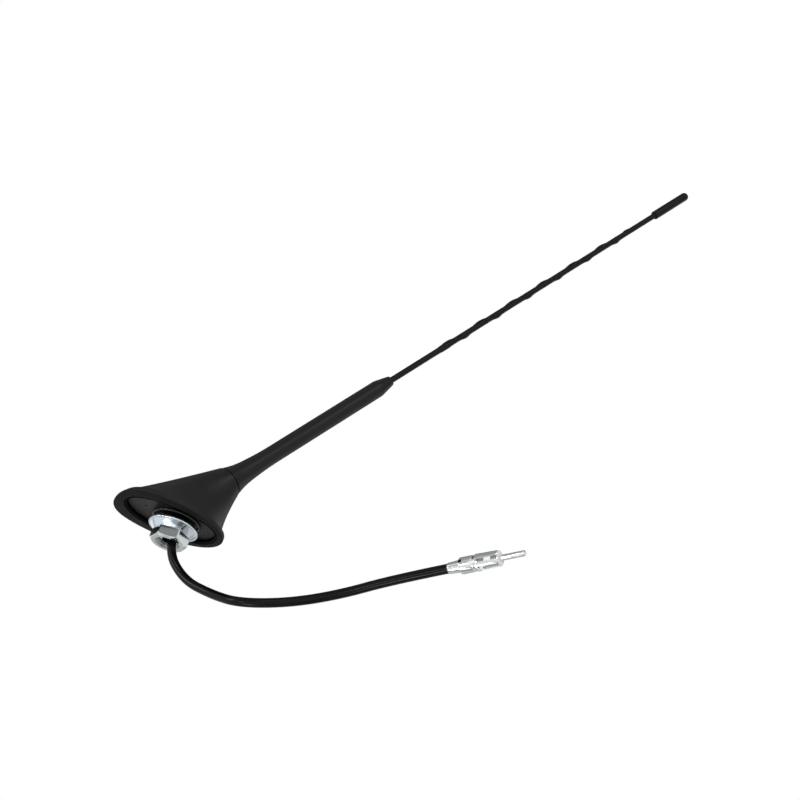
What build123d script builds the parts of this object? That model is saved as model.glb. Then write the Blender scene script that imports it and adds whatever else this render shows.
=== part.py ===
from build123d import *
from math import cos, pi, radians, sin, tan
import os

# Car roof antenna: leaning mast on a flared base, clamped through the roof by a hollow stud.
# Frame: millimetres, +Z up, +X to the rear of the car, +Y to its right.
# The origin is on the stud's axis in the roof plane, where the gasket's underside rests.

# Fits
running_gap = 0.08
press_gap = 0.05
face_gap = 0.05
seal_gap = 0.10

# Mast line: lean from the vertical, and the centre of the joint face between mast and base
mast_lean = 33.2
joint_x = 18.3
joint_z = 34.2

# Gasket: an oval rubber seal with a window for the base plate
gasket_front = -33.7
gasket_rear = 26.6
gasket_half_width = 23.7
gasket_wide_x = -4.0
gasket_height = 2.7
gasket_edge = 0.8
gasket_sole_edge = 0.3
gasket_front_fullness = 0.74
window_front = -27.6
window_rear = 21.8
window_half_width = 16.4
window_wide_x = -3.0
window_front_fullness = 0.58
window_rear_fullness = 0.64
ellipse_fullness = 0.5523

# Base plate, and the smooth boss round the stud
plate_gap = 0.6
plate_bottom = 2.0
plate_thickness = 3.0
boss_radius = 13.2
boss_bottom = 0.2
boss_edge = 0.9
gate_mark_x = -17.7
gate_mark_radius = 0.7
gate_mark_depth = 0.6

# Cover: the flared housing between gasket and mast
cover_foot_inset = 2.2
cover_front_inset = 3.0
cover_waist = 12.9
cover_rear_bow = 0.9
cover_front_rise = 0.5
cover_rear_rise = 0.44
neck_radius = 8.8
chamber_radius = 9.3

# Hollow clamping stud, dished washer and nut
stud_radius = 6.0
stud_bore_radius = 3.6
stud_end = -10.3
stud_chamfer = 0.8
stud_head_radius = 8.6
stud_head_height = 2.4
washer_radius = 13.4
washer_rim = -2.1
washer_rim_width = 1.8
washer_dish = 4.5
washer_seat_radius = 9.6
washer_thickness = 1.6
washer_bore_gap = 0.4
nut_across_flats = 18.0
nut_height = 5.7
nut_turned = 38.8
nut_chamfer_angle = 30.0
nut_countersink = 0.7

# Mast socket in the base, and the lead from the cable to it
socket_radius = 4.5
socket_length = 23.0
socket_recess = 0.3
socket_groove_depth = 0.5
socket_groove_length = 4.0
thread_depth = 14.0
solder_tail_radius = 1.5
solder_tail_length = 3.0
lead_radius = 0.6
lead_bend_share = 0.45

# Mast: threaded ferrule, moulded grip, rod, winding, sleeve and cap; heights along the mast
mast_thread_radius = 2.5
mast_thread_length = 9.5
mast_thread_chamfer = 0.6
seal_radius = 7.7
seal_thickness = 0.8
ferrule_radius = 3.6
ferrule_flange_radius = 4.4
ferrule_flange_height = 3.0
ferrule_height = 30.0
ferrule_socket_depth = 18.0
grip_foot_radius = 8.2
grip_radius = 4.9
grip_flare_height = 32.0
grip_flare_radius = 6.6
grip_flare_middle = 7.5
grip_waist_radius = 5.5
grip_waist_height = 17.5
grip_taper_start = 113.5
grip_end = 124.0
grip_end_radius = 2.8
rod_radius = 1.4
sleeve_radius = 1.78
wire_radius = 0.4
wire_sides = 6
winding_start = 170.0
winding_pitch = 29.2
winding_turns = 6.0
winding_phase = 150.0
ridge_wall = 0.2
ridge_top_width = 0.5
ridge_foot_width = 2.4
ridge_foot_depth = 0.7
knot_length = 9.0
knot_top_length = 3.0
knot_swell = 0.3
mast_length = 411.3
cap_length = 36.3
cap_radius = 2.8
cap_cover = 13.0
cap_roof = 6.0
cap_edge = 0.5
cap_round = 2.2

# Coaxial cable: its diameter and the points of its route
cable_diameter = 4.75
cable_arc_share = 0.45
cable_route = [
    (0.0, 0.0, 4.2),
    (0.8, -0.2, -13.5),
    (12.4, -9.0, -30.3),
    (26.0, -25.0, -37.6),
    (36.0, -43.0, -42.8),
    (55.5, -58.0, -38.0),
    (73.5, -74.5, -30.0),
    (88.5, -98.5, -22.3),
    (104.4, -125.0, -16.8),
]

# Antenna plug, from the cable's end to the tip of its pin
crimp_length = 6.7
crimp_radius = 2.7
crimp_front_radius = 3.05
crimp_lip = 1.2
collar_length = 6.9
collar_radius = 4.0
collar_mouth_radius = 3.5
collar_mouth_depth = 1.5
barrel_neck_radius = 3.7
barrel_neck_length = 1.2
barrel_length = 12.2
barrel_radius = 4.15
barrel_front_radius = 3.85
barrel_wall = 0.5
slit_width = 0.8
slit_depth = 1.5
slit_count = 4
slit_turned = 45.0
slit_length = 9.5
insulator_proud = 0.2
pin_radius = 1.4
pin_root_radius = 1.2
pin_length = 13.0
pin_round = 0.9

# Lines and planes shared by the pieces
across = Vector(cos(radians(mast_lean)), 0, -sin(radians(mast_lean)))
along = Vector(sin(radians(mast_lean)), 0, cos(radians(mast_lean)))
joint = Vector(joint_x, 0, joint_z)
mast_axis = Axis(joint, along)
mast_section = Plane(origin=joint, x_dir=across, z_dir=(0, -1, 0))
plate_top = plate_bottom + plate_thickness
nut_top = washer_rim - washer_dish
nut_bottom = nut_top - nut_height
chamber_top = joint_z + across.Z * -socket_radius - along.Z * socket_length
cable_radius = cable_diameter / 2


def oval(front, rear, half_width, wide_x, front_fullness, rear_fullness, mode=Mode.ADD):
    """Sketch a plan outline of four quarter curves, widest at wide_x."""
    ahead = wide_x - front
    behind = rear - wide_x
    with BuildLine() as outline:
        for side in (half_width, -half_width):
            Bezier(
                (front, 0),
                (front, side * front_fullness),
                (wide_x - ahead * front_fullness, side),
                (wide_x, side),
            )
            Bezier(
                (wide_x, side),
                (wide_x + behind * rear_fullness, side),
                (rear, side * rear_fullness),
                (rear, 0),
            )
    make_face(outline.edges(), mode=mode)


def profile(points):
    """Sketch a straight-sided half section from its corner points."""
    with BuildLine() as outline:
        Polyline(*points, close=True)
    make_face(outline.edges())


def rounded(radius, end, edge):
    """Points of a rounded edge at the far end of a half section, in two straight steps."""
    return [
        (radius - edge * (1 - cos(turn)), end - edge * (1 - sin(turn)))
        for turn in (0, pi / 4, pi / 2)
    ]


def mast_plane(height, turn=0):
    """The plane square to the mast at a height above the joint, turned about the mast."""
    x_dir = across * cos(radians(turn)) + Vector(0, sin(radians(turn)), 0)
    return Plane(origin=joint + along * height, x_dir=x_dir, z_dir=along)


# Gasket: bevelled at its outer edges, with a straight window
with BuildPart() as roof_gasket:
    for height, inset in (
        (0, gasket_sole_edge),
        (gasket_sole_edge, 0),
        (gasket_height - gasket_edge, 0),
        (gasket_height, gasket_edge),
    ):
        with BuildSketch(Plane.XY.offset(height)):
            oval(
                gasket_front + inset, gasket_rear - inset, gasket_half_width - inset, gasket_wide_x,
                gasket_front_fullness, ellipse_fullness,
            )
    loft(ruled=True)
    with BuildSketch():
        oval(
            window_front, window_rear, window_half_width, window_wide_x,
            window_front_fullness, window_rear_fullness,
        )
    extrude(amount=gasket_height, mode=Mode.SUBTRACT)

# Base plate, seen through the gasket's window
with BuildPart() as base_plate:
    with BuildSketch(Plane.XY.offset(plate_bottom)):
        oval(
            window_front + plate_gap, window_rear - plate_gap,
            window_half_width - plate_gap, window_wide_x,
            window_front_fullness, window_rear_fullness,
        )
        Circle(stud_radius + press_gap, mode=Mode.SUBTRACT)
    extrude(amount=plate_thickness)
    with BuildSketch(Plane.XY.offset(plate_bottom)):
        with Locations((gate_mark_x, 0)):
            Circle(gate_mark_radius)
    extrude(amount=gate_mark_depth, mode=Mode.SUBTRACT)

# Boss round the stud
with BuildPart() as stud_boss:
    with BuildSketch(Plane.XY.offset(boss_bottom)):
        Circle(boss_radius)
        Circle(stud_radius + press_gap, mode=Mode.SUBTRACT)
    extrude(amount=plate_bottom - boss_bottom)
    chamfer(stud_boss.edges().group_by(Axis.Z)[0].sort_by(SortBy.LENGTH)[-1], length=boss_edge)

# Hollow stud with its head above the plate
with BuildPart() as mounting_stud:
    with BuildSketch(Plane.XZ):
        profile([
            (stud_bore_radius, stud_end),
            (stud_radius - stud_chamfer, stud_end),
            (stud_radius, stud_end + stud_chamfer),
            (stud_radius, plate_top),
            (stud_head_radius, plate_top),
            (stud_head_radius, plate_top + stud_head_height),
            (stud_bore_radius, plate_top + stud_head_height),
        ])
    revolve(axis=Axis.Z)

# Cover: lofted from the oval foot to the round neck, square to the leaning mast
neck_front = joint - across * neck_radius
neck_rear = joint + across * neck_radius
foot_front = Vector(gasket_front + cover_front_inset, 0, gasket_height)
foot_rear = Vector(gasket_rear - cover_foot_inset, 0, gasket_height)
foot_half_width = gasket_half_width - cover_foot_inset
# Share of the way up the front line and rear line, rear bow and half width at each level
cover_levels = [
    (0, 0, 0, foot_half_width),
    (cover_front_rise, cover_rear_rise, cover_rear_bow, cover_waist),
    (1, 1, 0, neck_radius),
]
with BuildPart() as base_cover:
    for front_share, rear_share, rear_bow, half_width in cover_levels:
        front = foot_front + (neck_front - foot_front) * front_share
        rear = foot_rear + (neck_rear - foot_rear) * rear_share - Vector(rear_bow, 0, 0)
        span = rear - front
        middle = (front + rear) * 0.5
        fullness = gasket_front_fullness + (ellipse_fullness - gasket_front_fullness) * front_share
        level = Plane(origin=middle, x_dir=span, z_dir=Vector(-span.Z, 0, span.X))
        with BuildSketch(level):
            oval(
                -span.length / 2, span.length / 2, half_width, 0,
                fullness, ellipse_fullness,
            )
    loft()
    with BuildSketch(Plane.XY.offset(gasket_height)):
        oval(
            window_front + plate_gap - press_gap, window_rear - plate_gap + press_gap,
            window_half_width - plate_gap + press_gap, window_wide_x,
            window_front_fullness, window_rear_fullness,
        )
    extrude(amount=plate_top - gasket_height, mode=Mode.SUBTRACT)
    with BuildSketch(Plane.XY.offset(plate_top)):
        Circle(chamber_radius)
    extrude(amount=chamber_top - plate_top, mode=Mode.SUBTRACT)
    with BuildSketch(mast_plane(0)):
        Circle(socket_radius + press_gap)
    extrude(amount=-socket_length, mode=Mode.SUBTRACT)

# Brass socket that the mast screws into
with BuildPart() as mast_socket:
    with BuildSketch(mast_section):
        profile([
            (0, -socket_length - solder_tail_length),
            (solder_tail_radius, -socket_length - solder_tail_length),
            (solder_tail_radius, -socket_length),
            (socket_radius, -socket_length),
            (socket_radius, -(socket_length + socket_groove_length) / 2),
            (socket_radius - socket_groove_depth, -(socket_length + socket_groove_length) / 2),
            (socket_radius - socket_groove_depth, -(socket_length - socket_groove_length) / 2),
            (socket_radius, -(socket_length - socket_groove_length) / 2),
            (socket_radius, -socket_recess),
            (mast_thread_radius + running_gap, -socket_recess),
            (mast_thread_radius + running_gap, -thread_depth),
            (0, -thread_depth),
        ])
    revolve(axis=mast_axis)

# Lead from the cable's core to the socket's solder tail
lead_start = Vector(*cable_route[0])
lead_end = joint - along * (socket_length + solder_tail_length)
lead_corner = joint - along * (joint_x / sin(radians(mast_lean)))
lead_bend = lead_bend_share * (lead_corner - lead_start).length / tan(radians(mast_lean / 2))
with BuildPart() as core_lead:
    with BuildLine() as lead_path:
        FilletPolyline(lead_start, lead_corner, lead_end, radius=lead_bend)
    with BuildSketch(Plane(origin=lead_start, z_dir=(0, 0, 1))):
        Circle(lead_radius)
    sweep(path=lead_path.line)

# Dished clamping washer
with BuildPart() as clamp_washer:
    washer_bore = stud_radius + washer_bore_gap
    dish_top = washer_rim - washer_dish + washer_thickness
    with BuildSketch(Plane.XZ):
        profile([
            (washer_bore, nut_top),
            (washer_seat_radius, nut_top),
            (washer_radius - washer_rim_width + washer_thickness / 2, washer_rim - washer_thickness),
            (washer_radius, washer_rim - washer_thickness),
            (washer_radius, washer_rim),
            (washer_radius - washer_rim_width, washer_rim),
            (washer_seat_radius - washer_thickness / 2, dish_top),
            (washer_bore, dish_top),
        ])
    revolve(axis=Axis.Z)

# Hex nut, chamfered at both faces
with BuildPart() as hex_nut:
    with BuildSketch(Plane.XY.offset(nut_bottom)):
        RegularPolygon(nut_across_flats / 2, 6, major_radius=False, rotation=nut_turned)
        Circle(stud_radius + running_gap, mode=Mode.SUBTRACT)
    extrude(amount=nut_height - face_gap)
    nut_corner = nut_across_flats / 2 / cos(radians(30))
    chamfer_drop = (nut_corner - nut_across_flats / 2) * tan(radians(nut_chamfer_angle))
    with BuildSketch(Plane.XZ):
        profile([
            (0, nut_bottom),
            (nut_across_flats / 2, nut_bottom),
            (nut_corner, nut_bottom + chamfer_drop),
            (nut_corner, nut_top - face_gap - chamfer_drop),
            (nut_across_flats / 2, nut_top - face_gap),
            (0, nut_top - face_gap),
        ])
    revolve(axis=Axis.Z, mode=Mode.INTERSECT)
    thread_mouth = hex_nut.faces().filter_by(Axis.Z).sort_by(Axis.Z)[0].inner_wires()[0]
    chamfer(thread_mouth.edges(), length=nut_countersink)

# Seal ring between base and mast
with BuildPart() as mast_seal:
    with BuildSketch(mast_plane(face_gap)):
        Circle(seal_radius)
        Circle(mast_thread_radius + seal_gap, mode=Mode.SUBTRACT)
    extrude(amount=seal_thickness)

# Threaded ferrule that carries the rod
grip_foot = seal_thickness + 2 * face_gap
with BuildPart() as mast_ferrule:
    with BuildSketch(mast_section):
        profile([
            (0, -mast_thread_length),
            (mast_thread_radius - mast_thread_chamfer, -mast_thread_length),
            (mast_thread_radius, -mast_thread_length + mast_thread_chamfer),
            (mast_thread_radius, grip_foot),
            (ferrule_flange_radius, grip_foot),
            (ferrule_flange_radius, grip_foot + ferrule_flange_height),
            (ferrule_radius, grip_foot + ferrule_flange_height),
            (ferrule_radius, ferrule_height),
            (rod_radius + press_gap, ferrule_height),
            (rod_radius + press_gap, ferrule_height - ferrule_socket_depth),
            (0, ferrule_height - ferrule_socket_depth),
        ])
    revolve(axis=mast_axis)

# Moulded grip: a flared foot, a long handle and a tapered end
with BuildPart() as mast_grip:
    flange_bore = ferrule_flange_radius + press_gap
    ferrule_bore = ferrule_radius + press_gap
    sleeve_bore = sleeve_radius + press_gap
    with BuildSketch(mast_section):
        with BuildLine():
            Polyline(
                (grip_foot_radius, grip_foot),
                (grip_flare_radius, grip_flare_middle),
                (grip_waist_radius, grip_waist_height),
                (grip_radius, grip_flare_height),
                (grip_radius, grip_taper_start),
                (grip_end_radius, grip_end),
                (sleeve_bore, grip_end),
                (sleeve_bore, ferrule_height + face_gap),
                (ferrule_bore, ferrule_height + face_gap),
                (ferrule_bore, grip_foot + ferrule_flange_height + face_gap),
                (flange_bore, grip_foot + ferrule_flange_height + face_gap),
                (flange_bore, grip_foot),
                (grip_foot_radius, grip_foot),
            )
        make_face()
    revolve(axis=mast_axis)

# Rod core, from the ferrule's socket into the cap
rod_start = ferrule_height - ferrule_socket_depth + face_gap
rod_end = mast_length - cap_roof
with BuildPart() as mast_rod:
    with BuildSketch(mast_plane(rod_start)):
        Circle(rod_radius)
    extrude(amount=rod_end - rod_start)

# Helical winding laid on the rod
wire_path_radius = rod_radius + press_gap + wire_radius
winding_plane = mast_plane(winding_start, winding_phase)
winding_length = winding_pitch * winding_turns
winding = winding_plane.location * Edge.make_helix(winding_pitch, winding_length, wire_path_radius)
wire_start = Plane(origin=winding @ 0, x_dir=winding_plane.x_dir, z_dir=winding % 0)
with BuildPart() as helix_wire:
    with BuildSketch(wire_start):
        RegularPolygon(wire_radius, wire_sides)
    sweep(path=winding, is_frenet=True)

# Shrunk sleeve over rod and winding, with a raised helical ridge
sleeve_start = ferrule_height + 2 * face_gap
cap_start = mast_length - cap_length
sleeve_end = cap_start + cap_cover
knot_end = winding_start + knot_length / 2
with BuildPart() as mast_sleeve:
    with BuildSketch(mast_section):
        profile([
            (0, sleeve_start),
            (sleeve_radius, sleeve_start),
            (sleeve_radius, winding_start - knot_length / 2),
            (sleeve_radius + knot_swell, winding_start - knot_top_length / 2),
            (sleeve_radius + knot_swell, winding_start + knot_top_length / 2),
            (sleeve_radius, knot_end),
            (sleeve_radius, sleeve_end),
            (0, sleeve_end),
        ])
    revolve(axis=mast_axis)
    with BuildSketch(wire_start):
        profile([
            (-ridge_foot_depth, -ridge_foot_width / 2),
            (wire_radius + ridge_wall, -ridge_top_width / 2),
            (wire_radius + ridge_wall, ridge_top_width / 2),
            (-ridge_foot_depth, ridge_foot_width / 2),
        ])
    sweep(path=winding, is_frenet=True)
    with BuildSketch(mast_plane(sleeve_start)):
        Circle(rod_radius + press_gap)
    extrude(amount=sleeve_end - sleeve_start, mode=Mode.SUBTRACT)
    with BuildSketch(wire_start):
        RegularPolygon(wire_radius + press_gap, wire_sides)
    sweep(path=winding, is_frenet=True, mode=Mode.SUBTRACT)

# Tip cap, rounded at its end
with BuildPart() as tip_cap:
    with BuildSketch(mast_section):
        profile([
            (sleeve_bore, cap_start),
            (cap_radius - cap_edge, cap_start),
            (cap_radius, cap_start + cap_edge),
            *rounded(cap_radius, mast_length, cap_round),
            (0, mast_length),
            (0, rod_end + face_gap),
            (rod_radius + press_gap, rod_end + face_gap),
            (rod_radius + press_gap, sleeve_end + face_gap),
            (sleeve_bore, sleeve_end + face_gap),
        ])
    revolve(axis=mast_axis)

# Coaxial cable along its route
route = [Vector(*point) for point in cable_route]
runs = [after - before for before, after in zip(route, route[1:])]
cable_arcs = [
    cable_arc_share * min(one.length, two.length) / tan(radians(one.get_angle(two) / 2))
    for one, two in zip(runs, runs[1:])
]
print("cable arc radii, mm:", [round(radius, 1) for radius in cable_arcs])
with BuildPart() as coax_cable:
    with BuildLine() as cable_path:
        FilletPolyline(*route, radius=cable_arcs)
    with BuildSketch(Plane(origin=route[0], z_dir=runs[0])):
        Circle(cable_radius)
    sweep(path=cable_path.line)
cable_length = cable_path.wire().length
cable_fill = coax_cable.part.volume / (pi * cable_radius**2 * cable_length)
print("cable length, mm:", round(cable_length, 1))
print("cable volume over section times length:", round(cable_fill, 4))

# Plug, in line with the cable's last run
plug_line = runs[-1].normalized()
plug_axis = Axis(route[-1], plug_line)
plug_side = plug_line.cross(Vector(0, 0, 1)).normalized()
plug_section = Plane(origin=route[-1], x_dir=plug_side, z_dir=plug_side.cross(plug_line))
collar_start = crimp_length
barrel_start = collar_start + collar_length
shell_start = barrel_start + barrel_neck_length
shell_end = shell_start + barrel_length
barrel_bore = barrel_front_radius - barrel_wall

# Crimped ferrule on the cable, wider towards the collar
with BuildPart() as plug_crimp:
    with BuildSketch(plug_section):
        profile([
            (0, 0),
            (crimp_radius, 0),
            (crimp_radius, crimp_lip),
            (crimp_front_radius, crimp_length),
            (crimp_front_radius, collar_start + collar_mouth_depth),
            (0, collar_start + collar_mouth_depth),
        ])
    revolve(axis=plug_axis)

# Rear collar, open at the back round the crimp
with BuildPart() as plug_collar:
    with BuildSketch(plug_section):
        profile([
            (0, collar_start + collar_mouth_depth),
            (collar_mouth_radius, collar_start + collar_mouth_depth),
            (collar_mouth_radius, collar_start),
            (collar_radius, collar_start),
            (collar_radius, barrel_start),
            (0, barrel_start),
        ])
    revolve(axis=plug_axis)

# Front barrel: a thin shell with lengthwise slits
with BuildPart() as plug_barrel:
    with BuildSketch(plug_section):
        profile([
            (0, barrel_start),
            (barrel_neck_radius, barrel_start),
            (barrel_neck_radius, shell_start),
            (barrel_radius, shell_start),
            (barrel_front_radius, shell_end),
            (barrel_bore, shell_end),
            (barrel_bore, shell_start + barrel_wall),
            (0, shell_start + barrel_wall),
        ])
    revolve(axis=plug_axis)
    slit_plane = Plane(origin=route[-1] + plug_line * shell_end, x_dir=plug_side, z_dir=plug_line)
    with BuildSketch(slit_plane):
        with PolarLocations(barrel_radius, slit_count, start_angle=slit_turned):
            Rectangle(slit_depth, slit_width)
    extrude(amount=-slit_length, mode=Mode.SUBTRACT)

# Insulator inside the barrel
with BuildPart() as plug_insulator:
    insulator_start = shell_start + barrel_wall
    with BuildSketch(plug_section):
        profile([
            (pin_root_radius + press_gap, insulator_start),
            (barrel_bore - press_gap, insulator_start),
            (barrel_bore - press_gap, shell_end + insulator_proud),
            (pin_root_radius + press_gap, shell_end + insulator_proud),
        ])
    revolve(axis=plug_axis)

# Centre pin, thinner inside the insulator
with BuildPart() as plug_pin:
    pin_start = shell_end + insulator_proud + 2 * face_gap
    pin_end = pin_start + pin_length
    with BuildSketch(plug_section):
        profile([
            (0, insulator_start),
            (pin_root_radius, insulator_start),
            (pin_root_radius, pin_start),
            (pin_radius, pin_start),
            *rounded(pin_radius, pin_end, pin_round),
            (0, pin_end),
        ])
    revolve(axis=plug_axis)

# Labels and files
pieces = {
    "roof_gasket": roof_gasket,
    "base_plate": base_plate,
    "stud_boss": stud_boss,
    "mounting_stud": mounting_stud,
    "base_cover": base_cover,
    "mast_socket": mast_socket,
    "core_lead": core_lead,
    "clamp_washer": clamp_washer,
    "hex_nut": hex_nut,
    "mast_seal": mast_seal,
    "mast_ferrule": mast_ferrule,
    "mast_grip": mast_grip,
    "mast_rod": mast_rod,
    "helix_wire": helix_wire,
    "mast_sleeve": mast_sleeve,
    "tip_cap": tip_cap,
    "coax_cable": coax_cable,
    "plug_crimp": plug_crimp,
    "plug_collar": plug_collar,
    "plug_barrel": plug_barrel,
    "plug_insulator": plug_insulator,
    "plug_pin": plug_pin,
}
os.makedirs("parts", exist_ok=True)
for name, piece in pieces.items():
    piece.part.label = name
    export_step(piece.part, f"parts/{name}.step")
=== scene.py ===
from math import cos, exp, pi, radians, sin, tan

import bpy
from mathutils import Matrix, Vector


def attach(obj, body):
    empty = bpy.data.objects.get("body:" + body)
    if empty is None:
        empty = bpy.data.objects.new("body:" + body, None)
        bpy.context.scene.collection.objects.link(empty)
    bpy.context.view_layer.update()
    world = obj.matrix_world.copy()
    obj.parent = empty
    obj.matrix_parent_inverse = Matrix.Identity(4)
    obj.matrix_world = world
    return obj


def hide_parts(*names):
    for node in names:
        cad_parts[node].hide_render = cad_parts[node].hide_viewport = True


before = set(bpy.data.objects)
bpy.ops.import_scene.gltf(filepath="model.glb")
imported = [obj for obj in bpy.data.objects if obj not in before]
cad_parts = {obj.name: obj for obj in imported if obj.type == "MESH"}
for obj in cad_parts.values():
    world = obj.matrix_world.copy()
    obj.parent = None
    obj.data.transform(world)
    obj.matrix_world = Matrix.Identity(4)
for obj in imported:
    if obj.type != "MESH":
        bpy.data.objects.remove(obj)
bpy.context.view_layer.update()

# Sizes of the pieces are in millimetres, places of lamps and cards in metres
MM = 0.001

# Camera: focal length in pixels for an 800 pixel square picture, place, and axes
PICTURE = 800
FOCAL_PIXELS = 1600
SENSOR = 36.0
NEAREST_SEEN = 0.01
CAMERA_PLACE = Vector((-144.92, -758.27, -335.19)) * MM
CAMERA_RIGHT = Vector((0.858096, -0.437043, 0.269562))
CAMERA_DOWN = Vector((0.442319, 0.362479, -0.820343))
CAMERA_FORWARD = Vector((0.260814, 0.823166, 0.504355))

# Stud line and mast line, as in the solids
CENTRE = Vector((0, 0, 0))
UP = Vector((0, 0, 1))
REAR = Vector((1, 0, 0))
MAST_LEAN = radians(33.2)
JOINT = Vector((18.3, 0, 34.2)) * MM
ALONG = Vector((sin(MAST_LEAN), 0, cos(MAST_LEAN)))
ACROSS = Vector((cos(MAST_LEAN), 0, -sin(MAST_LEAN)))
SIDE = ALONG.cross(ACROSS)

# Radius at which a turned skin ends beside its axis
AXIS_HOLE = 0.02

# Cable route, the solid tube's points; the second lies lower, to clear the nut when it is screwed down
CABLE_DIAMETER = 4.75 * MM
CABLE_ROUTE = [
    (0.0, 0.0, 4.2),
    (0.6, -0.15, -14.4),
    (12.4, -9.0, -30.3),
    (26.0, -25.0, -37.6),
    (36.0, -43.0, -42.8),
    (55.5, -58.0, -38.0),
    (73.5, -74.5, -30.0),
    (88.5, -98.5, -22.3),
    (104.4, -125.0, -16.8),
]


def add_object(name, mesh_or_curve, material, body, node):
    """Link a new piece, give it its finish and body, and let it stand for its solid."""
    piece = bpy.data.objects.new(name, mesh_or_curve)
    bpy.context.collection.objects.link(piece)
    mesh_or_curve.materials.append(material)
    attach(piece, body)
    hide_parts(node)
    return piece


def grid_mesh(name, rings, capped=True, sharp_angle=35):
    """A closed skin over rings of points: capped at both ends, or with the last ring joined to the first."""
    count = len(rings[0])
    points = [point for ring in rings for point in ring]
    rows = list(range(len(rings)))
    pairs = list(zip(rows, rows[1:]))
    if not capped:
        pairs.append((rows[-1], rows[0]))
    faces = []
    for row, next_row in pairs:
        for column in range(count):
            after = (column + 1) % count
            faces.append((
                row * count + column,
                row * count + after,
                next_row * count + after,
                next_row * count + column,
            ))
    if capped:
        faces.append(tuple(reversed(range(count))))
        faces.append(tuple(rows[-1] * count + column for column in range(count)))
    mesh = bpy.data.meshes.new(name)
    mesh.from_pydata(points, [], faces)
    mesh.update()
    mesh.shade_smooth()
    mesh.set_sharp_from_angle(angle=radians(sharp_angle))
    return mesh


def lathe(name, profile, origin, axis, across, segments=96, capped=True, sharp_angle=35):
    """Turn a half section of (radius, height) points, in metres, about an axis."""
    other = axis.cross(across)
    rings = []
    for radius, height in profile:
        ring = []
        for index in range(segments):
            angle = 2 * pi * index / segments
            ring.append(origin + axis * height + (across * cos(angle) + other * sin(angle)) * radius)
        rings.append(ring)
    return grid_mesh(name, rings, capped=capped, sharp_angle=sharp_angle)


def arc_points(centre, radius, start, end, steps):
    """Points on a quarter or part circle in a half section, angles in degrees."""
    points = []
    for index in range(steps + 1):
        angle = radians(start + (end - start) * index / steps)
        points.append((centre[0] + radius * cos(angle), centre[1] + radius * sin(angle)))
    return points


def smooth_run(points, steps):
    """A smooth line through half-section points, by cubic pieces with shared slopes."""
    slopes = []
    for index in range(len(points)):
        before = points[max(index - 1, 0)]
        after = points[min(index + 1, len(points) - 1)]
        slopes.append((after[0] - before[0]) / (after[1] - before[1]))
    line = []
    for (r0, h0), (r1, h1), s0, s1 in zip(points, points[1:], slopes, slopes[1:]):
        span = h1 - h0
        for index in range(steps):
            t = index / steps
            radius = (
                (2 * t**3 - 3 * t**2 + 1) * r0
                + (t**3 - 2 * t**2 + t) * span * s0
                + (-2 * t**3 + 3 * t**2) * r1
                + (t**3 - t**2) * span * s1
            )
            line.append((radius, h0 + span * t))
    line.append(points[-1])
    return line


def scaled(points):
    """Half-section points from millimetres to metres."""
    return [(radius * MM, height * MM) for radius, height in points]


def apart(angle, other):
    """Least turn between two angles."""
    return abs((angle - other + pi) % (2 * pi) - pi)


# Materials: noise scales are per metre, depths in metres
NOISE_LOW = 0.3
NOISE_HIGH = 0.7
MOTTLE_SCALE = 90
MOTTLE_DETAIL = 5
GRAIN_DETAIL = 3
GRAIN_STRENGTH = 0.35
CLOUD_SCALE = 160
CLOUD_DETAIL = 4
LINE_SCALE = 900
LINE_DETAIL = 3
LINE_DEPTH = 0.00003


def new_material(name):
    """A new material with its nodes and links."""
    material = bpy.data.materials.new(name)
    material.use_nodes = True
    return material, material.node_tree.nodes, material.node_tree.links


def noise(nodes, links, scale, detail):
    """Noise in the object's own metres."""
    place = nodes.new("ShaderNodeTexCoord")
    texture = nodes.new("ShaderNodeTexNoise")
    texture.inputs["Scale"].default_value = scale
    texture.inputs["Detail"].default_value = detail
    links.new(place.outputs["Object"], texture.inputs["Vector"])
    return texture.outputs["Fac"]


def ranged(nodes, links, value, low, high):
    """A noise value mapped into a range."""
    node = nodes.new("ShaderNodeMapRange")
    node.inputs["From Min"].default_value = NOISE_LOW
    node.inputs["From Max"].default_value = NOISE_HIGH
    node.inputs["To Min"].default_value = low
    node.inputs["To Max"].default_value = high
    links.new(value, node.inputs["Value"])
    return node.outputs["Result"]


def mixed_colour(nodes, links, value, dark, light):
    """A colour between two, by a value."""
    node = nodes.new("ShaderNodeMix")
    node.data_type = "RGBA"
    node.inputs["A"].default_value = (*dark, 1)
    node.inputs["B"].default_value = (*light, 1)
    links.new(value, node.inputs["Factor"])
    return node.outputs["Result"]


def bump(nodes, links, height, strength, distance):
    """A normal moved by a height."""
    node = nodes.new("ShaderNodeBump")
    node.inputs["Strength"].default_value = strength
    node.inputs["Distance"].default_value = distance
    links.new(height, node.inputs["Height"])
    return node.outputs["Normal"]


def moulded(name, dark, light, rough, grain, grain_depth, specular):
    """Moulded plastic or rubber: fine grain, faint mottling and uneven sheen."""
    material, nodes, links = new_material(name)
    shader = nodes["Principled BSDF"]
    shader.inputs["Specular IOR Level"].default_value = specular
    mottle = noise(nodes, links, MOTTLE_SCALE, MOTTLE_DETAIL)
    fine = noise(nodes, links, grain, GRAIN_DETAIL)
    links.new(mixed_colour(nodes, links, mottle, dark, light), shader.inputs["Base Color"])
    links.new(ranged(nodes, links, mottle, *rough), shader.inputs["Roughness"])
    links.new(bump(nodes, links, fine, GRAIN_STRENGTH, grain_depth), shader.inputs["Normal"])
    return material


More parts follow.
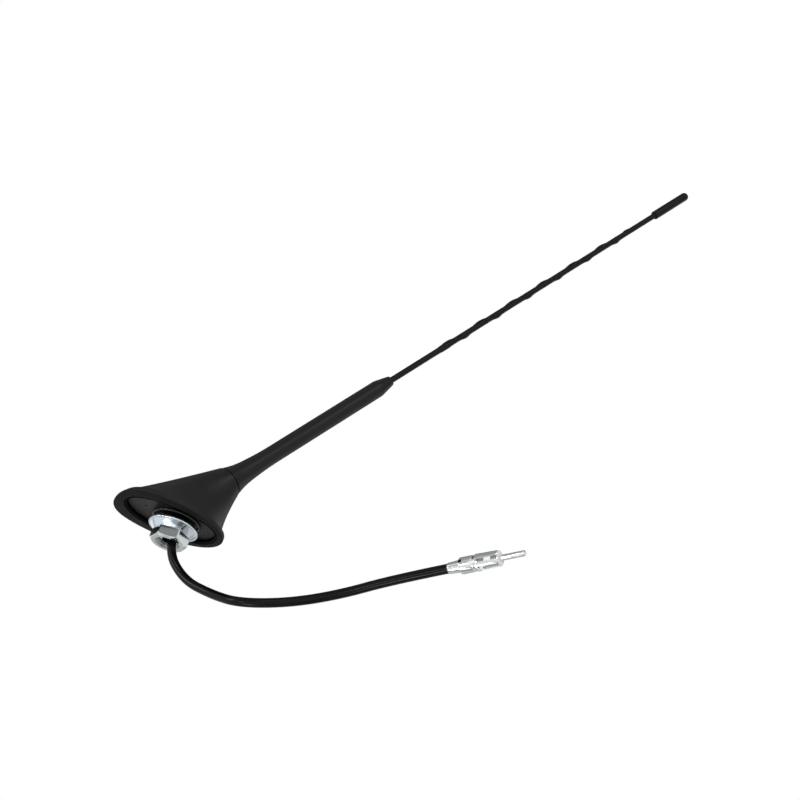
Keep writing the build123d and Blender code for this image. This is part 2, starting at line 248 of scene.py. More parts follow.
def plated(name, dark, light, rough, scratch=0.08):
    """Plated metal: faint clouding, fine scratches and a slightly uneven gloss."""
    material, nodes, links = new_material(name)
    shader = nodes["Principled BSDF"]
    shader.inputs["Metallic"].default_value = 1
    cloud = noise(nodes, links, CLOUD_SCALE, CLOUD_DETAIL)
    lines = noise(nodes, links, LINE_SCALE, LINE_DETAIL)
    links.new(mixed_colour(nodes, links, cloud, dark, light), shader.inputs["Base Color"])
    links.new(ranged(nodes, links, cloud, *rough), shader.inputs["Roughness"])
    links.new(bump(nodes, links, lines, scratch, LINE_DEPTH), shader.inputs["Normal"])
    return material


cover_plastic = moulded(
    "cover_plastic", (0.012, 0.0108, 0.0107), (0.016, 0.0145, 0.0145),
    rough=(0.36, 0.46), grain=5200, grain_depth=0.00002, specular=0.15,
)
seal_rubber = moulded(
    "seal_rubber", (0.0045, 0.0042, 0.0042), (0.007, 0.0066, 0.0066),
    rough=(0.5, 0.65), grain=3800, grain_depth=0.00003, specular=0.08,
)
# Painted shade: a darker copy of the gasket rubber for its groove and the upper part of its window wall
gasket_painted_shade = moulded(
    "gasket_painted_shade", (0.002, 0.0019, 0.0019), (0.003, 0.0028, 0.0028),
    rough=(0.6, 0.75), grain=3800, grain_depth=0.00003, specular=0.03,
)
# Painted light: a paler, glossier copy of the gasket rubber for its outer rim
gasket_painted_light = moulded(
    "gasket_painted_light", (0.0125, 0.0113, 0.0112), (0.0165, 0.0150, 0.0150),
    rough=(0.42, 0.54), grain=4600, grain_depth=0.00003, specular=0.13,
)
base_plastic = moulded(
    "base_plastic", (0.004, 0.0037, 0.0036), (0.007, 0.0064, 0.0062),
    rough=(0.08, 0.16), grain=1500, grain_depth=0.00002, specular=0.5,
)
plate_plastic = moulded(
    "plate_plastic", (0.014, 0.013, 0.013), (0.019, 0.0178, 0.0178),
    rough=(0.38, 0.5), grain=3000, grain_depth=0.00003, specular=0.18,
)
mast_plastic = moulded(
    "mast_plastic", (0.005, 0.0047, 0.0047), (0.008, 0.0075, 0.0075),
    rough=(0.34, 0.46), grain=4200, grain_depth=0.00003, specular=0.13,
)
cable_jacket = moulded(
    "cable_jacket", (0.0014, 0.0014, 0.0014), (0.0024, 0.0024, 0.0024),
    rough=(0.16, 0.24), grain=1800, grain_depth=0.00001, specular=0.15,
)
# Painted shade for the notch in the plug's collar
hole_shade = moulded(
    "hole_shade", (0.004, 0.004, 0.004), (0.007, 0.007, 0.007),
    rough=(0.6, 0.7), grain=2600, grain_depth=0.00002, specular=0.1,
)
rod_fibre = moulded(
    "rod_fibre", (0.22, 0.20, 0.15), (0.32, 0.30, 0.23),
    rough=(0.35, 0.5), grain=2600, grain_depth=0.00003, specular=0.4,
)
plug_insulation = moulded(
    "plug_insulation", (0.84, 0.84, 0.82), (0.92, 0.92, 0.90),
    rough=(0.35, 0.5), grain=2600, grain_depth=0.00002, specular=0.3,
)
zinc_steel = plated("zinc_steel", (0.54, 0.58, 0.59), (0.62, 0.66, 0.67), (0.07, 0.13), scratch=0.03)
# Painted shade: a darker, rougher copy of the nut's zinc for the cut thread in its bore
bore_zinc_painted_shade = plated("bore_zinc_painted_shade", (0.40, 0.42, 0.43), (0.48, 0.51, 0.52), (0.3, 0.4), scratch=0.03)
washer_zinc = plated("washer_zinc", (0.66, 0.74, 0.80), (0.77, 0.84, 0.91), (0.13, 0.2), scratch=0.1)
plug_metal = plated("plug_metal", (0.74, 0.77, 0.77), (0.84, 0.86, 0.86), (0.09, 0.15), scratch=0.04)
# Painted shade: dark metal for the ends of the plug's slits
slit_end_painted_shade = plated("slit_end_painted_shade", (0.16, 0.17, 0.17), (0.22, 0.23, 0.23), (0.3, 0.4), scratch=0.03)
brass = plated("brass", (0.50, 0.34, 0.12), (0.64, 0.45, 0.18), (0.22, 0.32))
copper = plated("copper", (0.52, 0.24, 0.14), (0.66, 0.33, 0.20), (0.22, 0.32))

# Finish of the solids that stay
FINISHES = {
    "base_plate": plate_plastic,
    "mounting_stud": zinc_steel,
    "base_cover": cover_plastic,
    "mast_socket": brass,
    "core_lead": copper,
    "mast_seal": seal_rubber,
    "mast_ferrule": brass,
    "mast_rod": rod_fibre,
    "helix_wire": copper,
    "plug_insulator": plug_insulation,
}
for node, material in FINISHES.items():
    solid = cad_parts[node]
    solid.data.materials.clear()
    solid.data.materials.append(material)

# Cable
cable_curve = bpy.data.curves.new("coax_lead", "CURVE")
cable_curve.dimensions = "3D"
cable_curve.bevel_depth = CABLE_DIAMETER / 2
cable_curve.bevel_resolution = 10
cable_curve.resolution_u = 24
cable_curve.use_fill_caps = True
spline = cable_curve.splines.new("NURBS")
spline.points.add(len(CABLE_ROUTE) - 1)
for point, place in zip(spline.points, CABLE_ROUTE):
    point.co = (*(Vector(place) * MM), 1)
spline.order_u = 3
spline.use_endpoint_u = True
cable = add_object("coax_lead", cable_curve, cable_jacket, "base", "coax_cable")

# Gasket: rounded lip over the solid's outlines, its outer wall leaning back at the front
# Outlines: front, rear, half width, place of the full width, fullness of the front and of the rear
GASKET = (-33.7, 26.6, 23.7, -4.0, 0.74, 0.5523)
WINDOW = (-27.6, 21.8, 16.4, -3.0, 0.58, 0.64)
GASKET_HEIGHT = 2.7
GASKET_TOP_ROUND = 0.8
GASKET_TOP_STEPS = 6
GASKET_SOLE_ROUND = 0.3
GASKET_SOLE_STEPS = 3
GASKET_FRONT_LEAN = 0.9
WINDOW_ROUND = 0.3
GROOVE_WIDTH = 1.0
GROOVE_DEPTH = 0.4
GROOVE_SLOPE = 0.2
WALL_SHADE = 0.8
QUARTER_STEPS = 40


def bezier(corners, t):
    """A point on a cubic curve."""
    weights = ((1 - t) ** 3, 3 * t * (1 - t) ** 2, 3 * t**2 * (1 - t), t**3)
    return [sum(weight * corner[axis] for weight, corner in zip(weights, corners)) for axis in (0, 1)]


def oval_ring(outline, inset, height, front_lean=0):
    """Points round a plan outline of four quarter curves, in metres; its front can lean back with height."""
    front, rear, half_width, wide_x, front_full, rear_full = outline
    front += inset + front_lean * max(0, height - GASKET_SOLE_ROUND)
    rear -= inset
    half_width -= inset
    ahead = wide_x - front
    behind = rear - wide_x
    fore = [
        (front, 0),
        (front, half_width * front_full),
        (wide_x - ahead * front_full, half_width),
        (wide_x, half_width),
    ]
    aft = [
        (wide_x, half_width),
        (wide_x + behind * rear_full, half_width),
        (rear, half_width * rear_full),
        (rear, 0),
    ]
    half = [bezier(curve, step / QUARTER_STEPS) for curve in (fore, aft) for step in range(QUARTER_STEPS)]
    half.append([rear, 0])
    ring = half + [[x, -y] for x, y in reversed(half[1:-1])]
    return [Vector((x, y, height)) * MM for x, y in reversed(ring)]


gasket_section = [
    (WINDOW, -WINDOW_ROUND, 0),
    (WINDOW, -WINDOW_ROUND - GROOVE_SLOPE, GROOVE_DEPTH),
    (WINDOW, -WINDOW_ROUND - GROOVE_WIDTH + GROOVE_SLOPE, GROOVE_DEPTH),
    (WINDOW, -WINDOW_ROUND - GROOVE_WIDTH, 0),
]
for step in range(GASKET_SOLE_STEPS + 1):
    turned = pi / 2 * step / GASKET_SOLE_STEPS
    gasket_section.append((
        GASKET,
        GASKET_SOLE_ROUND - GASKET_SOLE_ROUND * sin(turned),
        GASKET_SOLE_ROUND - GASKET_SOLE_ROUND * cos(turned),
    ))
for step in range(GASKET_TOP_STEPS + 1):
    turned = pi / 2 * step / GASKET_TOP_STEPS
    gasket_section.append((
        GASKET,
        GASKET_TOP_ROUND - GASKET_TOP_ROUND * cos(turned),
        GASKET_HEIGHT - GASKET_TOP_ROUND + GASKET_TOP_ROUND * sin(turned),
        GASKET_FRONT_LEAN,
    ))
gasket_section += [(WINDOW, 0, GASKET_HEIGHT), (WINDOW, 0, WALL_SHADE), (WINDOW, 0, WINDOW_ROUND)]
gasket_rings = [oval_ring(*level) for level in gasket_section]
gasket_mesh = grid_mesh("gasket_lip", gasket_rings, capped=False, sharp_angle=50)
add_object("gasket_lip", gasket_mesh, seal_rubber, "base", "roof_gasket")
# The groove round the window and the upper part of its wall are painted darker as shade, and the outer rim
# is painted paler as light, on the same rubber
gasket_mesh.materials.append(gasket_painted_shade)
gasket_mesh.materials.append(gasket_painted_light)
around = len(gasket_rings[0])
groove_rows = range(0, 3)
wall_row = len(gasket_rings) - 3
rim_rows = range(4, wall_row)
for index, face in enumerate(gasket_mesh.polygons):
    row = index // around
    if row in groove_rows or row == wall_row:
        face.material_index = 1
    elif row in rim_rows:
        face.material_index = 2

# Boss: smooth moulding with a rounded edge
BOSS_RADIUS = 13.2
BOSS_BOTTOM = 0.2
BOSS_TOP = 2.0
BOSS_ROUND = 0.9
BOSS_BORE = 6.05
edge_centre = (BOSS_RADIUS - BOSS_ROUND, BOSS_BOTTOM + BOSS_ROUND)
boss_profile = [(BOSS_BORE, BOSS_BOTTOM)]
boss_profile += arc_points(edge_centre, BOSS_ROUND, -90, 0, steps=8)
boss_profile += [(BOSS_RADIUS, BOSS_TOP), (BOSS_BORE, BOSS_TOP)]
boss_mesh = lathe(
    "round_boss", scaled(boss_profile), CENTRE, UP, REAR, segments=128, capped=False, sharp_angle=40,
)
add_object("round_boss", boss_mesh, base_plastic, "base", "stud_boss")

# Washer: dished, with a rounded rim
WASHER_BORE = 6.4
WASHER_SEAT = 9.6
WASHER_SEAT_EDGE = 0.4
WASHER_SEAT_RISE = 0.12
WASHER_RADIUS = 13.4
WASHER_THICK = 1.6
WASHER_RIM_WIDTH = 1.8
WASHER_LOWER_ROUND = 0.5
WASHER_UPPER_ROUND = 0.4
WASHER_TOP = -2.1
WASHER_RIM_BOTTOM = WASHER_TOP - WASHER_THICK
NUT_TOP = -6.6
washer_profile = [
    (WASHER_BORE, NUT_TOP),
    (WASHER_SEAT - WASHER_SEAT_EDGE, NUT_TOP),
    (WASHER_SEAT, NUT_TOP + WASHER_SEAT_RISE),
    (WASHER_RADIUS - WASHER_RIM_WIDTH + WASHER_THICK / 2, WASHER_RIM_BOTTOM),
]
lower_centre = (WASHER_RADIUS - WASHER_LOWER_ROUND, WASHER_RIM_BOTTOM + WASHER_LOWER_ROUND)
upper_centre = (WASHER_RADIUS - WASHER_UPPER_ROUND, WASHER_TOP - WASHER_UPPER_ROUND)
washer_profile += arc_points(lower_centre, WASHER_LOWER_ROUND, -90, 0, steps=5)
washer_profile += arc_points(upper_centre, WASHER_UPPER_ROUND, 0, 90, steps=5)
washer_profile += [
    (WASHER_RADIUS - WASHER_RIM_WIDTH, WASHER_TOP),
    (WASHER_SEAT - WASHER_THICK / 2, NUT_TOP + WASHER_THICK),
    (WASHER_BORE, NUT_TOP + WASHER_THICK),
]
washer_mesh = lathe(
    "dished_washer", scaled(washer_profile), CENTRE, UP, REAR, segments=128, capped=False, sharp_angle=40,
)
add_object("dished_washer", washer_mesh, washer_zinc, "washer", "clamp_washer")

# Nut: hexagon with bevelled corners, chamfered below, and a cut thread in its bore
NUT_FLATS = 18.0
NUT_BOTTOM = -12.3
NUT_TURN = radians(38.8)
NUT_CHAMFER = radians(30)
NUT_EDGE = 0.25
NUT_FACE_INSET = 0.15
NUT_FACE_GAP = 0.05
NUT_MOUTH = 0.7
THREAD_RADIUS = 6.08
THREAD_DEPTH = 0.75
THREAD_PITCH = 1.5
THREAD_STEPS = 60
# Degrees from corner to corner, between points along a flat, and from a corner to the end of its bevel
SIDE_DEGREES = 60
FLAT_STEP = 3
CORNER_BEVEL = 2.0
SIDE_STEPS = [0.0, CORNER_BEVEL, *range(FLAT_STEP, SIDE_DEGREES, FLAT_STEP), SIDE_DEGREES - CORNER_BEVEL]
nut_angles = [NUT_TURN + radians(SIDE_DEGREES * corner + step) for corner in range(6) for step in SIDE_STEPS]


def hex_radius(angle):
    """Distance from the nut's axis to its flat at an angle, less at the bevelled corners."""
    off_corner = abs((angle - NUT_TURN + pi / 6) % (pi / 3) - pi / 6)
    bevel = radians(CORNER_BEVEL)
    if off_corner < bevel / 2:
        return NUT_FLATS / 2 / cos(pi / 6 - bevel) * cos(bevel)
    return NUT_FLATS / 2 / cos(pi / 6 - off_corner)


def nut_ring(radius_at, height_at):
    """Points round the nut, with radius and height by angle."""
    ring = []
    for angle in nut_angles:
        radius = radius_at(angle)
        ring.append(Vector((radius * cos(angle), radius * sin(angle), height_at(angle))) * MM)
    return ring


def chamfer_drop(angle):
    """Height of the chamfer's edge above the nut's lower face."""
    return (hex_radius(angle) - NUT_FLATS / 2) * tan(NUT_CHAMFER) + NUT_EDGE


def thread_cut(angle, height):
    """Radius of the cut thread: a triangle that rises once a pitch."""
    phase = (height / THREAD_PITCH - angle / (2 * pi)) % 1
    return THREAD_RADIUS + THREAD_DEPTH * abs(2 * phase - 1)


nut_top_face = NUT_TOP - NUT_FACE_GAP
nut_rings = []
for step in range(THREAD_STEPS + 1):
    height = nut_top_face + (NUT_BOTTOM - nut_top_face) * step / THREAD_STEPS
    mouth = max(0, NUT_MOUTH - (height - NUT_BOTTOM))
    nut_rings.append(nut_ring(
        lambda a, h=height, m=mouth: max(thread_cut(a, h), THREAD_RADIUS + m),
        lambda a, h=height: h,
    ))
nut_rings += [
    nut_ring(lambda a: NUT_FLATS / 2 - NUT_FACE_INSET, lambda a: NUT_BOTTOM),
    nut_ring(lambda a: hex_radius(a) - NUT_EDGE, lambda a: NUT_BOTTOM + chamfer_drop(a) - NUT_EDGE / 2),
    nut_ring(hex_radius, lambda a: NUT_BOTTOM + chamfer_drop(a) + NUT_EDGE),
    nut_ring(hex_radius, lambda a: nut_top_face - NUT_EDGE),
    nut_ring(lambda a: hex_radius(a) - NUT_EDGE, lambda a: nut_top_face),
]
nut_mesh = grid_mesh("hexagon_nut", nut_rings, capped=False, sharp_angle=20)
add_object("hexagon_nut", nut_mesh, zinc_steel, "nut", "hex_nut")
# The cut thread is rougher than the faces, and painted darker as shade in the bore
nut_mesh.materials.append(bore_zinc_painted_shade)
for face in nut_mesh.polygons[:THREAD_STEPS * len(nut_angles)]:
    face.material_index = 1

# Grip: flared foot, handle and tapered end on a smooth line, hollow for the ferrule and the sleeve
GRIP_FOOT = 0.9
GRIP_FOOT_EDGE = 0.2
GRIP_FOOT_RADIUS = 8.2
GRIP_RADIUS = 4.9
GRIP_END = 124.0
GRIP_END_RADIUS = 2.6
SLEEVE_HOLE = 1.83
FERRULE_HOLE = 3.65
FERRULE_TOP = 30.05
FLANGE_HOLE = 4.45
FLANGE_TOP = 3.95
FLARE_LINE = [
    (GRIP_FOOT_RADIUS, 1.3),
    (7.45, 4.0),
    (6.62, 7.5),
    (6.02, 11.5),
    (5.5, 17.5),
    (5.06, 25.0),
    (GRIP_RADIUS, 32.0),
    (GRIP_RADIUS, 45.0),
]
HANDLE_HEIGHTS = (70, 95, 110)
TAPER_LINE = [(GRIP_RADIUS, 112.6), (4.78, 114.2), (4.4, 116.2), (3.1, 122.9), (2.86, 123.7)]
grip_profile = [
    (GRIP_FOOT_RADIUS - GRIP_FOOT_EDGE, GRIP_FOOT),
    (GRIP_FOOT_RADIUS, GRIP_FOOT + GRIP_FOOT_EDGE),
]
grip_profile += smooth_run(FLARE_LINE, steps=6)
grip_profile += [(GRIP_RADIUS, height) for height in HANDLE_HEIGHTS]
grip_profile += smooth_run(TAPER_LINE, steps=4)
grip_profile += [
    (GRIP_END_RADIUS, GRIP_END),
    (SLEEVE_HOLE, GRIP_END),
    (SLEEVE_HOLE, FERRULE_TOP),
    (FERRULE_HOLE, FERRULE_TOP),
    (FERRULE_HOLE, FLANGE_TOP),
    (FLANGE_HOLE, FLANGE_TOP),
    (FLANGE_HOLE, GRIP_FOOT),
]
grip_mesh = lathe(
    "moulded_grip", scaled(grip_profile), JOINT, ALONG, ACROSS, segments=96, capped=False, sharp_angle=40,
)
add_object("moulded_grip", grip_mesh, cover_plastic, "mast", "mast_grip")

# Sleeve: skin drawn tight over the rod and its winding, so that the spiral shows as a soft ridge
SLEEVE_RADIUS = 1.78
SLEEVE_BORE = 1.45
SLEEVE_START = 30.1
SLEEVE_END = 388.0
RIDGE_START = 170.0
RIDGE_PITCH = 29.2
RIDGE_TURNS = 6.0
RIDGE_END = RIDGE_START + RIDGE_PITCH * RIDGE_TURNS
RIDGE_PHASE = radians(150)
RIDGE_HEIGHT = 0.66
RIDGE_SPREAD = radians(34)
RIDGE_FADE = 4.0
KNOT_LENGTH = 9.0
KNOT_SWELL = 0.28
SLEEVE_SEGMENTS = 48
SLEEVE_STEP = 0.8


def sleeve_radius(height, angle):
    """Radius of the skin at a height along the mast and an angle round it."""
    beyond = max(RIDGE_START - height, height - RIDGE_END, 0)
    fade = max(0, 1 - beyond / RIDGE_FADE)
    wire = RIDGE_PHASE + 2 * pi * (height - RIDGE_START) / RIDGE_PITCH
    ridge = RIDGE_HEIGHT * fade * exp(-((apart(angle, wire) / RIDGE_SPREAD) ** 2))
    knot = KNOT_SWELL * exp(-(((height - RIDGE_START) / (KNOT_LENGTH / 2)) ** 4))
    return SLEEVE_RADIUS + max(ridge, knot)


def sleeve_ring(height, radius_at):
    """Points round the mast at a height along it."""
    centre = JOINT + ALONG * height * MM
    ring = []
    for index in range(SLEEVE_SEGMENTS):
        angle = 2 * pi * index / SLEEVE_SEGMENTS
        ring.append(centre + (ACROSS * cos(angle) + SIDE * sin(angle)) * radius_at(height, angle) * MM)
    return ring


sleeve_length = SLEEVE_END - SLEEVE_START
sleeve_rows = round(sleeve_length / SLEEVE_STEP)
sleeve_heights = [SLEEVE_START + sleeve_length * row / sleeve_rows for row in range(sleeve_rows + 1)]
sleeve_rings = [sleeve_ring(height, sleeve_radius) for height in sleeve_heights]
sleeve_rings += [sleeve_ring(height, lambda h, a: SLEEVE_BORE) for height in (SLEEVE_END, SLEEVE_START)]
sleeve_mesh = grid_mesh("ridged_sleeve", sleeve_rings, capped=False)
add_object("ridged_sleeve", sleeve_mesh, mast_plastic, "mast", "mast_sleeve")

# Cap: rounded shoulder and tip, hollow for the sleeve's end and the rod
CAP_START = 375.0
CAP_END = 411.3
CAP_RADIUS = 2.8
CAP_SHOULDER = 0.9
CAP_TIP_DEGREES = 89.6
SLEEVE_STOP = 388.05
ROD_STOP = 405.35
cap_profile = [
    (AXIS_HOLE, ROD_STOP),
    (SLEEVE_BORE, ROD_STOP),
    (SLEEVE_BORE, SLEEVE_STOP),
    (SLEEVE_HOLE, SLEEVE_STOP),
    (SLEEVE_HOLE, CAP_START),
]
shoulder_centre = (CAP_RADIUS - CAP_SHOULDER, CAP_START + CAP_SHOULDER)
cap_profile += arc_points(shoulder_centre, CAP_SHOULDER, -90, 0, steps=6)
cap_profile += arc_points((0, CAP_END - CAP_RADIUS), CAP_RADIUS, 0, CAP_TIP_DEGREES, steps=12)
cap_mesh = lathe("rounded_cap", scaled(cap_profile), JOINT, ALONG, ACROSS, segments=64)
add_object("rounded_cap", cap_mesh, mast_plastic, "mast", "tip_cap")

# Plug: crimp with its seam, open collar, slit barrel and rounded pin; places along it from the cable's end
PLUG_END = Vector(CABLE_ROUTE[-1]) * MM
PLUG_LINE = (Vector(CABLE_ROUTE[-1]) - Vector(CABLE_ROUTE[-2])).normalized()
# The side of the plug that faces the camera, from which angles count, and the side a quarter turn above it
TO_CAMERA = CAMERA_PLACE - PLUG_END
SEAM_SIDE = (TO_CAMERA - PLUG_LINE * TO_CAMERA.dot(PLUG_LINE)).normalized()
SEAM_UP = SEAM_SIDE.cross(PLUG_LINE)
PLUG_SEGMENTS = 180
COLLAR_START = 6.7
CRIMP_END = 8.2
COLLAR_END = 13.6
CORE_START = 15.3
SLIT_START = 16.6
BARREL_END = 27.0
PIN_START = 27.3
PIN_END = 40.3
CRIMP_RADIUS = 2.7
CRIMP_END_RADIUS = 3.05
COLLAR_HOLE = 3.5
COLLAR_RADIUS = 4.0
BARREL_NECK = 3.7
BARREL_RADIUS = 4.12
BARREL_BORE = 3.35
PIN_STEM = 1.2
PIN_RADIUS = 1.4
PIN_ROUND = 0.9
SEAM_TURN = radians(24)
SEAM_DEPTH = 0.3
SEAM_SPREAD = 0.11
SLIT_TURN = radians(16)
SLIT_HALF = radians(11)
SLIT_DEPTH = 0.45
HOLE_TURN = radians(38)
HOLE_HALF = radians(13)


def plug_mesh(name, rows, sharp_angle=30):
    """A skin of rows about the plug's line: distance from the cable's end, and radius, plain or by angle."""
    rings = []
    for distance, radius in rows:
        centre = PLUG_END + PLUG_LINE * distance * MM
        ring = []
        for index in range(PLUG_SEGMENTS):
            angle = 2 * pi * index / PLUG_SEGMENTS
            reach = radius(angle) if callable(radius) else radius
            ring.append(centre + (SEAM_SIDE * cos(angle) + SEAM_UP * sin(angle)) * reach * MM)
        rings.append(ring)
    mesh = grid_mesh(name, rings, sharp_angle=sharp_angle)
    mesh.flip_normals()
    return mesh


def plug_faces(mesh):
    """Each face of a plug skin with its row and the angle of its middle."""
    for index, face in enumerate(mesh.polygons):
        row, column = divmod(index, PLUG_SEGMENTS)
        yield face, row, 2 * pi * (column + 0.5) / PLUG_SEGMENTS


def seamed(radius):
    """A radius by angle, less along the crimp's seam."""
    return lambda angle: radius - SEAM_DEPTH * exp(-((apart(angle, SEAM_TURN) / SEAM_SPREAD) ** 2))


def in_slit(angle):
    """Whether an angle lies in one of the barrel's four slits."""
    return min(apart(angle, SLIT_TURN + pi / 2 * quarter) for quarter in range(4)) < SLIT_HALF


def slit(radius):
    """A radius by angle, less in the slits."""
    return lambda angle: radius - SLIT_DEPTH if in_slit(angle) else radius


crimp_rows = [
    (0, AXIS_HOLE),
    (0, 2.45),
    (0.1, seamed(2.62)),
    (0.3, seamed(CRIMP_RADIUS)),
    (1.2, seamed(CRIMP_RADIUS)),
    (COLLAR_START, seamed(CRIMP_END_RADIUS)),
    (CRIMP_END, seamed(CRIMP_END_RADIUS)),
    (CRIMP_END, AXIS_HOLE),
]
crimp_mesh = plug_mesh("seamed_crimp", crimp_rows)
crimp = add_object("seamed_crimp", crimp_mesh, plug_metal, "base", "plug_crimp")

collar_rows = [
    (CRIMP_END, AXIS_HOLE),
    (CRIMP_END, COLLAR_HOLE),
    (COLLAR_START, COLLAR_HOLE),
    (COLLAR_START, 3.75),
    (6.78, 3.93),
    (7.0, COLLAR_RADIUS),
    (7.3, COLLAR_RADIUS),
    (8.5, COLLAR_RADIUS),
    (13.1, COLLAR_RADIUS),
    (13.4, 3.93),
    (COLLAR_END, 3.8),
    (COLLAR_END, AXIS_HOLE),
]
collar_mesh = plug_mesh("open_collar", collar_rows)
collar = add_object("open_collar", collar_mesh, plug_metal, "base", "plug_collar")
# A notch in the collar's rear edge, painted on the faces as a dark patch of shade; no notch is cut
NOTCH_ROWS = (3, 4, 5, 6)
collar_mesh.materials.append(hole_shade)
for face, row, angle in plug_faces(collar_mesh):
    if row in NOTCH_ROWS and apart(angle, HOLE_TURN) < HOLE_HALF:
        face.material_index = 1

barrel_rows = [
    (COLLAR_END, AXIS_HOLE),
    (COLLAR_END, BARREL_NECK),
    (14.4, BARREL_NECK),
    (14.7, 3.85),
    (15.1, 4.1),
    (15.4, 4.15),
    (SLIT_START, BARREL_RADIUS),
    (SLIT_START, slit(BARREL_RADIUS)),
    (20.2, slit(4.03)),
    (23.6, slit(3.95)),
    (26.4, slit(3.88)),
    (26.8, slit(3.82)),
    (BARREL_END, slit(3.7)),
    (BARREL_END, BARREL_BORE),
    (CORE_START, BARREL_BORE),
    (CORE_START, AXIS_HOLE),
]
barrel_mesh = plug_mesh("slit_barrel", barrel_rows)
barrel = add_object("slit_barrel", barrel_mesh, plug_metal, "base", "plug_barrel")
# The slits' floors are painted dark as shade at their ends and show the pale insulation between; place of
# the finish by row
SLIT_FLOOR = {7: 1, 8: 2, 9: 1, 10: 1}
barrel_mesh.materials.append(slit_end_painted_shade)
barrel_mesh.materials.append(plug_insulation)
for face, row, angle in plug_faces(barrel_mesh):
    if row in SLIT_FLOOR and in_slit(angle):
        face.material_index = SLIT_FLOOR[row]

pin_tip = arc_points((PIN_RADIUS - PIN_ROUND, PIN_END - PIN_ROUND), PIN_ROUND, 0, 90, steps=8)
pin_rows = [(CORE_START, AXIS_HOLE), (CORE_START, PIN_STEM), (PIN_START, PIN_STEM), (PIN_START, PIN_RADIUS)]
pin_rows += [(distance, radius) for radius, distance in pin_tip]
pin_rows += [(PIN_END, AXIS_HOLE)]
pin_mesh = plug_mesh("round_pin", pin_rows)
pin = add_object("round_pin", pin_mesh, plug_metal, "base", "plug_pin")

# World: white to the eye and in reflections, a plain fill otherwise
WORLD_FILL = 0.5
WORLD_SEEN = 1.0
world = bpy.data.worlds.new("studio")
bpy.context.scene.world = world
world.use_nodes = True
nodes = world.node_tree.nodes
links = world.node_tree.links
background = nodes["Background"]
background.inputs["Color"].default_value = (1, 1, 1, 1)
path = nodes.new("ShaderNodeLightPath")
seen = nodes.new("ShaderNodeMath")
seen.operation = "MAXIMUM"
links.new(path.outputs["Is Camera Ray"], seen.inputs[0])
links.new(path.outputs["Is Glossy Ray"], seen.inputs[1])
seen_through = nodes.new("ShaderNodeMath")
seen_through.operation = "MAXIMUM"
links.new(seen.outputs[0], seen_through.inputs[0])
links.new(path.outputs["Is Transmission Ray"], seen_through.inputs[1])
strength = nodes.new("ShaderNodeMapRange")
strength.inputs["To Min"].default_value = WORLD_FILL
strength.inputs["To Max"].default_value = WORLD_SEEN
links.new(seen_through.outputs[0], strength.inputs["Value"])
links.new(strength.outputs["Result"], background.inputs["Strength"])

# Lamps, which the camera and reflections don't see
LIT_POINT = Vector((0.05, -0.02, 0.03))


def soft_light(name, place, size, power):
    """A square area lamp facing the object."""
    data = bpy.data.lights.new(name, "AREA")
    data.size = size
    data.energy = power
    lamp = bpy.data.objects.new(name, data)
    lamp.location = place
    lamp.rotation_euler = (LIT_POINT - Vector(place)).to_track_quat("-Z", "Y").to_euler()
    lamp.visible_camera = False
    lamp.visible_glossy = False
    bpy.context.collection.objects.link(lamp)


soft_light("key", (-0.47, -1.10, -0.12), size=0.5, power=7)
soft_light("low", (0.12, -0.52, -0.85), size=0.35, power=0.55)


# Cards that give metal and gloss their bands
def card(name, corners, strength):
    """A flat card, seen only in reflections."""
    mesh = bpy.data.meshes.new(name)
    mesh.from_pydata(corners, [], [(0, 1, 2, 3)])
    piece = bpy.data.objects.new(name, mesh)
    bpy.context.collection.objects.link(piece)
    material, nodes, links = new_material(name)
    glow = nodes.new("ShaderNodeEmission")
    glow.inputs["Strength"].default_value = strength
    links.new(glow.outputs["Emission"], nodes["Material Output"].inputs["Surface"])
    mesh.materials.append(material)
    piece.visible_camera = False
    piece.visible_diffuse = False
    piece.visible_shadow = False
    piece.visible_transmission = False


def box_corners(low, high):
    """The corners, in turn, of a rectangle between two of them."""
    return [low, (high[0], low[1]), high, (low[0], high[1])]


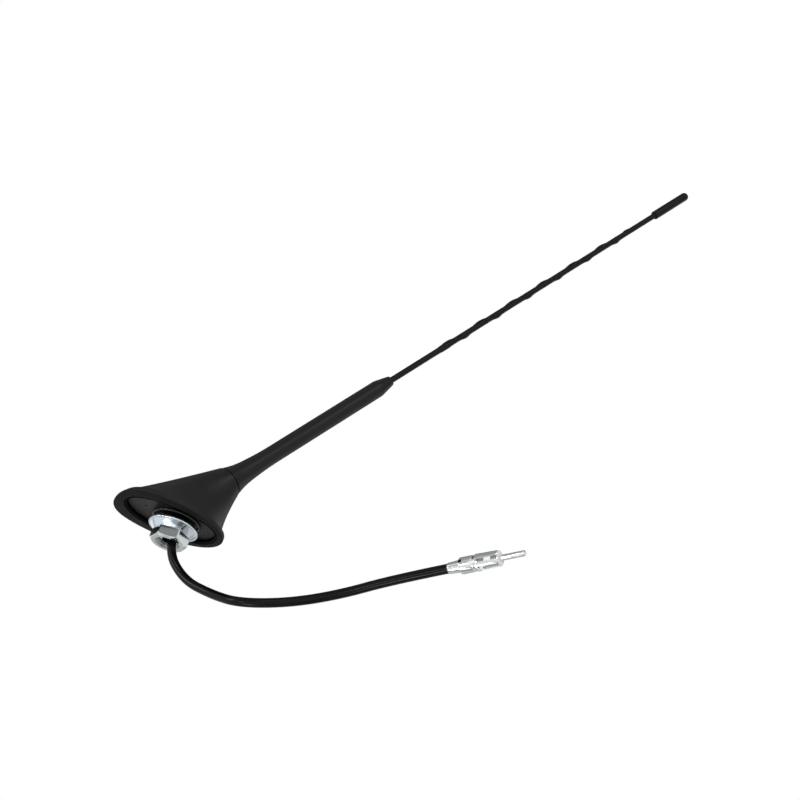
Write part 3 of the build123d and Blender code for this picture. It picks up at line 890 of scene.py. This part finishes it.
# Level cards: name, corners in x and y, height and strength
LEVEL_CARDS = [
    ("front_grey", box_corners((-3.0, -3.5), (1.2, 0.9)), 1.3, 0.34),
    ("rear_dark", box_corners((-3.5, 0.9), (0.6, 4.0)), 1.3, 0.1),
    ("under_grey", box_corners((-3.5, -0.6), (3.5, 4.0)), -1.3, 0.38),
    ("under_mid", box_corners((0.1, 0.8), (1.3, 3.2)), -1.29, 0.68),
    ("under_pale", box_corners((-3.5, -0.6), (-0.4, 2.6)), -1.29, 0.85),
    ("under_right", box_corners((1.15, -0.5), (3.5, 1.8)), -1.28, 0.64),
    ("under_streak", box_corners((0.1, -0.95), (0.5, -0.15)), -1.28, 0.1),
    ("under_strip", box_corners((-0.75, -0.05), (-0.25, 0.25)), -1.27, 6.0),
    ("under_spot", box_corners((-0.2, -0.12), (0.1, 0.15)), -1.28, 1.3),
    ("corner_strip", box_corners((-2.5, -0.45), (-1.9, 0.05)), 1.25, 2.0),
    ("over_strip", [(-2.7, -1.8), (-1.0, -1.0), (-0.8, -0.65), (-2.4, -1.3)], 1.25, 6.0),
]
for name, corners, z, glow in LEVEL_CARDS:
    card(name, [(x, y, z) for x, y in corners], glow)

# Cards across the car's length: name, corners in y and z, place along x and strength
UPRIGHT_CARDS = [
    ("front_strip", [(-0.35, 0.45), (-0.1, 0.6), (0.65, -0.35), (0.4, -0.6)], -2.5, 6.0),
    ("left_strip", box_corners((-0.8, -1.25), (-0.35, -0.95)), -2.6, 14.0),
    ("plug_grey", box_corners((-0.27, -0.16), (-0.05, 0.34)), -0.45, 0.5),
    ("right_grey", box_corners((-2.2, 0.6), (-0.25, 3.4)), 3.2, 0.25),
]
for name, corners, x, glow in UPRIGHT_CARDS:
    card(name, [(x, y, z) for y, z in corners], glow)

# A card beyond the object
REAR_GREY_Y = 3.0
card("rear_grey", [(x, REAR_GREY_Y, z) for x, z in box_corners((0.6, -0.8), (4.5, 2.6))], 0.35)

# A long strip beside the camera draws a soft line along the grip
STRIP_CENTRE = Vector((0.49, -2.4, 1.84))
STRIP_BELOW = ALONG * 0.4
STRIP_ABOVE = ALONG * 0.8
STRIP_WIDE = ACROSS * 0.2
card("grip_strip", [
    STRIP_CENTRE - STRIP_BELOW - STRIP_WIDE,
    STRIP_CENTRE + STRIP_ABOVE - STRIP_WIDE,
    STRIP_CENTRE + STRIP_ABOVE + STRIP_WIDE,
    STRIP_CENTRE - STRIP_BELOW + STRIP_WIDE,
], 14.0)

# Camera
camera_data = bpy.data.cameras.new("camera")
camera_data.sensor_width = SENSOR
camera_data.lens = FOCAL_PIXELS * SENSOR / PICTURE
camera_data.clip_start = NEAREST_SEEN
camera = bpy.data.objects.new("camera", camera_data)
turn = Matrix((CAMERA_RIGHT, -CAMERA_DOWN, -CAMERA_FORWARD)).transposed().to_4x4()
camera.matrix_world = Matrix.Translation(CAMERA_PLACE) @ turn
bpy.context.collection.objects.link(camera)
bpy.context.scene.camera = camera
bpy.context.scene.view_settings.view_transform = "Standard"

bpy.context.view_layer.update()
